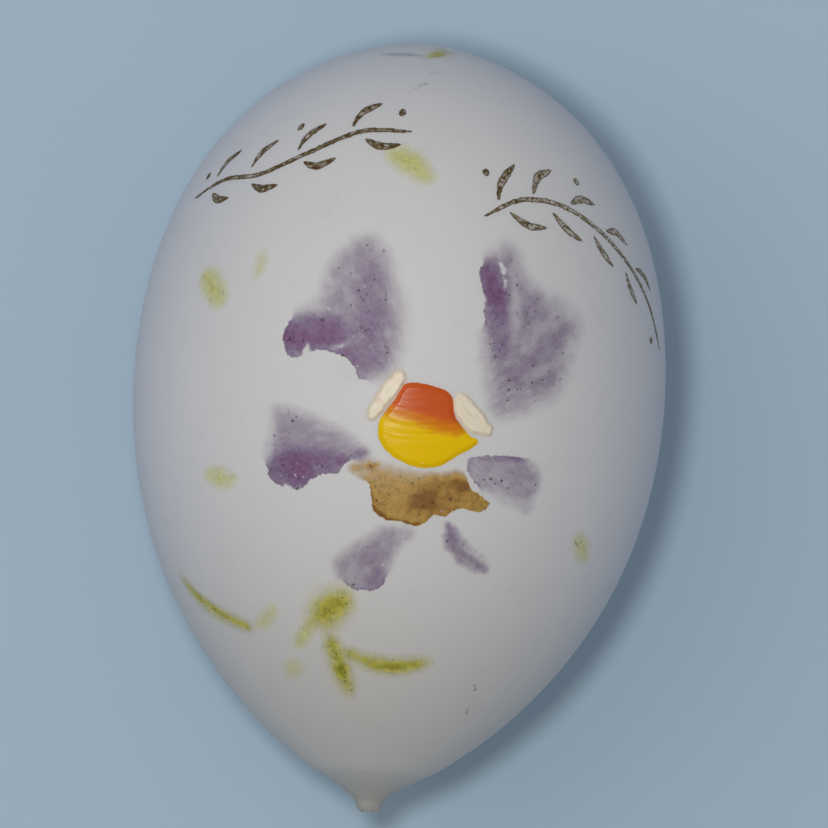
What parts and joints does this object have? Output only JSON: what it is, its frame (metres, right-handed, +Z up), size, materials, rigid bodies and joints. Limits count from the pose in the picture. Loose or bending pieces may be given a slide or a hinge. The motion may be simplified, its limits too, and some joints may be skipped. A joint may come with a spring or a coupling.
{
  "type": "painted glass egg",
  "caption": "Hollow hand-blown opal-glass egg lying on its side, its satin surface brush-painted with a worn pansy, green leaves and gilt sprigs.",
  "frame": {"origin": "under the middle of the egg's length, on the surface it lies on", "axes": "+Z up, +Y towards the blunt end, +X to the right of the painted side seen from above with the blunt end away; the egg's own axis rises 3.6 degrees towards +Y"},
  "size_m": [0.105, 0.1518, 0.1059],
  "materials": {
    "opal_glass": "satin white opal glass, acid-dulled, faintly translucent",
    "violet_wash": "thin, worn violet oil paint",
    "ochre_wash": "thin ochre-brown oil paint",
    "eye_paint": "thick glossy oil paint, orange running into yellow",
    "cream_paint": "thick cream oil paint with brush ridges",
    "green_wash": "thin, worn olive-green oil paint",
    "pale_green_wash": "faint yellow-green remains of paint",
    "lilac_line": "thin lilac-grey paint line",
    "gilt": "dark, worn bronze-powder gilt"
  },
  "bodies": {
    "root": {"glass_shell": "opal_glass", "petal_upper_left": "violet_wash", "petal_upper_right": "violet_wash", "petal_side_left": "violet_wash", "petal_side_right": "violet_wash", "petal_lower_left": "violet_wash", "petal_lower_right": "violet_wash", "beard_wash": "ochre_wash", "flower_eye": "eye_paint", "throat_dab_left": "cream_paint", "throat_dab_right": "cream_paint", "leaf_dark": "green_wash", "leaf_pale": "pale_green_wash", "leaf_tail": "pale_green_wash", "blade_left": "green_wash", "blade_down": "green_wash", "blade_right": "green_wash", "speck_top": "pale_green_wash", "speck_left": "pale_green_wash", "speck_left_faint": "pale_green_wash", "speck_low_left": "pale_green_wash", "speck_low_right": "pale_green_wash", "speck_tip": "pale_green_wash", "curl_line": "lilac_line", "curl_leaf": "green_wash", "curl_tip": "lilac_line", "gilt_stem_left": "gilt", "gilt_leaf_left_1": "gilt", "gilt_leaf_left_2": "gilt", "gilt_leaf_left_3": "gilt", "gilt_leaf_left_4": "gilt", "gilt_leaf_left_5": "gilt", "gilt_leaf_left_6": "gilt", "gilt_leaf_left_7": "gilt", "gilt_leaf_left_8": "gilt", "gilt_dot_left_1": "gilt", "gilt_dot_left_2": "gilt", "gilt_dot_left_3": "gilt", "gilt_stem_right": "gilt", "gilt_leaf_right_1": "gilt", "gilt_leaf_right_2": "gilt", "gilt_leaf_right_3": "gilt", "gilt_leaf_right_4": "gilt", "gilt_leaf_right_5": "gilt", "gilt_leaf_right_6": "gilt", "gilt_leaf_right_7": "gilt", "gilt_leaf_right_8": "gilt", "gilt_leaf_right_9": "gilt", "gilt_dot_right_1": "gilt", "gilt_dot_right_2": "gilt", "gilt_dot_right_3": "gilt"}
  },
  "joints": []
}
